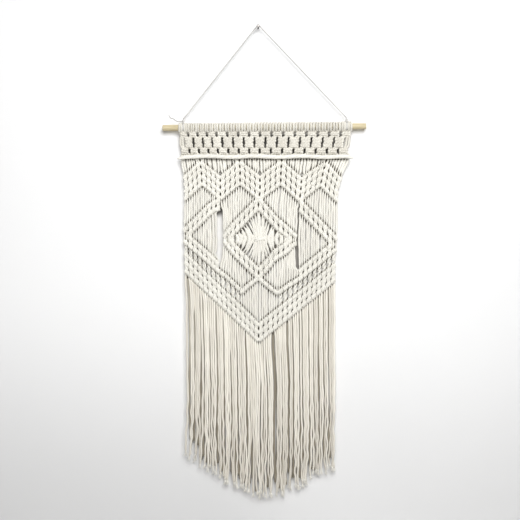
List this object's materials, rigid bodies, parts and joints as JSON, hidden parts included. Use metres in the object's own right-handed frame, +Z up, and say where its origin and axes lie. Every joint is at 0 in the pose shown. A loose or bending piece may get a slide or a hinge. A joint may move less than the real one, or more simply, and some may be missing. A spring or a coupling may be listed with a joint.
{
  "type": "macrame wall hanging on a wooden dowel with a wall nail",
  "caption": "Knotted cotton macrame panel on a wooden dowel, with a net heading, zigzag and diamond bars, a V of knotted rows and long fringe, hung by a thin cord over a wall nail.",
  "frame": {"origin": "the middle of the nail's cut end, where the nail's axis meets the wall", "axes": "+Z up, +X to the right of someone who faces the wall, +Y into the wall"},
  "size_m": [0.4, 0.023, 0.9319],
  "materials": {
    "dowel_wood": "plain sanded pine",
    "cotton_cord": "matte twisted cotton",
    "cotton_fringe": "matte twisted cotton, loose",
    "hanger_cord": "thin smooth cotton cord",
    "nail_steel": "dull dark steel"
  },
  "bodies": {
    "root": {"dowel": "dowel_wood", "heading": "cotton_cord", "cross_cord": "cotton_cord", "panel": "cotton_cord", "fringe": "cotton_fringe", "hanger_cord": "hanger_cord", "hanger_knot_left": "hanger_cord", "hanger_knot_right": "hanger_cord", "nail": "nail_steel"}
  },
  "joints": []
}
